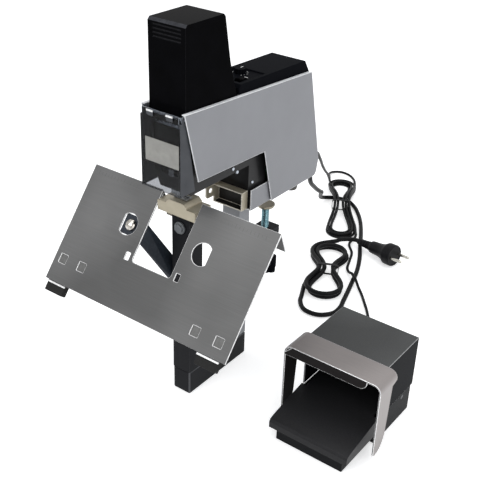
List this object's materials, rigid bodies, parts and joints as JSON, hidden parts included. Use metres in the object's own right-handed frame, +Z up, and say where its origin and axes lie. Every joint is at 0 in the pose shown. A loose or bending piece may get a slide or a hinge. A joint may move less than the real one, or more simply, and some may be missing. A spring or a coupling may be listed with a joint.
{
  "type": "electric saddle stapler",
  "caption": "Electric stapler for booklet folds: C-shaped stand, tilting saddle table over an anvil, arm with solenoid tower, clear finger guard, guarded foot pedal and bundled leads.",
  "frame": {"origin": "on the floor, straight below the middle of the table's fold line, where the staple is driven", "axes": "+Z up, +Y from the operator towards the back of the machine, +X to the operator's right, along the fold line"},
  "size_m": [0.4522, 0.7892, 0.4758],
  "materials": {
    "bright_steel": "brushed",
    "zinc_steel": "zinc plated",
    "nickel_plate": "dull nickel plate",
    "grey_paint": "satin",
    "black_paint": "satin",
    "pedal_black": "fine texture",
    "gloss_black": "gloss",
    "matt_black": "matt",
    "rubber": "matt",
    "copper_winding": "lacquered",
    "board_green": "satin",
    "clear_plastic": "clear",
    "red_plastic": "gloss",
    "white_plastic": "satin"
  },
  "bodies": {
    "root": {"base_box": "black_paint", "front_column": "black_paint", "rear_post": "grey_paint", "column_bolt": "zinc_steel", "clinch_plate": "bright_steel", "anvil_head": "nickel_plate", "table_hinge_rod": "zinc_steel", "table_stay": "black_paint", "stay_dome_nut": "zinc_steel", "housing_side_left": "grey_paint", "housing_side_right": "grey_paint", "housing_back": "grey_paint", "mains_strain_relief": "rubber", "lead_strain_relief": "rubber", "chassis_tray": "grey_paint", "arm_frame": "black_paint", "back_stop": "nickel_plate", "head_nose": "bright_steel", "magazine_channel": "bright_steel", "staple_strip": "zinc_steel", "solenoid_coil": "copper_winding", "solenoid_yoke": "zinc_steel", "plunger_return_spring": "zinc_steel", "tower_cover": "gloss_black", "rear_cover": "matt_black", "control_plate": "black_paint", "guard_rod": "zinc_steel", "rubber_foot_left": "rubber", "rubber_foot_right": "rubber", "clamp_arm": "black_paint", "control_board": "board_green", "pedal_pan": "matt_black", "pedal_hood": "pedal_black", "treadle_pin": "zinc_steel", "treadle_spring": "zinc_steel", "pedal_switch": "red_plastic", "pedal_guard": "bright_steel", "pedal_strain_relief": "rubber", "mains_hank": "rubber", "lead_hank": "rubber", "mains_lead": "rubber", "mains_lead_end": "rubber", "pedal_lead": "rubber", "pedal_lead_end": "rubber", "mains_plug": "matt_black"},
    "table": {"saddle_table": "bright_steel", "table_pad_left": "rubber", "table_pad_right": "rubber"},
    "driver": {"driver_blade": "bright_steel", "solenoid_plunger": "zinc_steel"},
    "pusher": {"staple_pusher": "white_plastic"},
    "guard": {"front_guard": "clear_plastic", "guard_tab_left": "nickel_plate", "guard_tab_right": "nickel_plate"},
    "clamp_pad_body": {"clamp_pad": "nickel_plate"},
    "clamp_screw_body": {"clamp_screw": "zinc_steel", "clamp_knob": "matt_black"},
    "rocker": {"power_rocker": "red_plastic"},
    "knob": {"force_knob": "white_plastic"},
    "treadle_body": {"treadle": "pedal_black"}
  },
  "joints": [
    {"name": "table_tilt", "type": "hinge", "parent": "root", "child": "table", "pos_m": [0, 0.01059, 0.24719], "axis": [-1, 0, 0], "range_deg": [0, 51]},
    {"name": "driver_stroke", "type": "slide", "parent": "root", "child": "driver", "axis": [0, 0, -1], "range_m": [0, 0.012], "stiffness_N_per_m": 400, "springref_m": -0.01, "deforming": ["plunger_return_spring"]},
    {"name": "pusher_travel", "type": "slide", "parent": "root", "child": "pusher", "axis": [0, 1, 0], "range_m": [0, 0.016], "stiffness_N_per_m": 100, "springref_m": -0.02},
    {"name": "guard_swing", "type": "hinge", "parent": "root", "child": "guard", "pos_m": [0, -0.0285, 0.379], "axis": [-1, 0, 0], "range_deg": [0, 70]},
    {"name": "clamp_lift", "type": "slide", "parent": "root", "child": "clamp_pad_body", "axis": [0, 0, 1], "range_m": [-0.008, 0.016]},
    {"name": "clamp_turn", "type": "hinge", "parent": "clamp_pad_body", "child": "clamp_screw_body", "pos_m": [0, 0.165, 0.16], "axis": [0, 0, 1], "range_deg": [-1440, 2880]},
    {"name": "rocker_press", "type": "hinge", "parent": "root", "child": "rocker", "pos_m": [0.009, 0.09, 0.38656], "axis": [1, 0, 0], "range_deg": [0, 12]},
    {"name": "knob_turn", "type": "hinge", "parent": "root", "child": "knob", "pos_m": [-0.006, 0.109, 0.39], "axis": [0, 0, 1], "range_deg": [-135, 135]},
    {"name": "treadle_press", "type": "hinge", "parent": "root", "child": "treadle_body", "pos_m": [0.19, 0.126, 0.03], "axis": [1, 0, 0], "range_deg": [0, 3], "stiffness_Nm_per_rad": 4, "springref_deg": -22.92}
  ],
  "couplings": [
    {"joint": "clamp_turn", "follows": "clamp_lift", "rad_per_m": 3141.6}
  ]
}
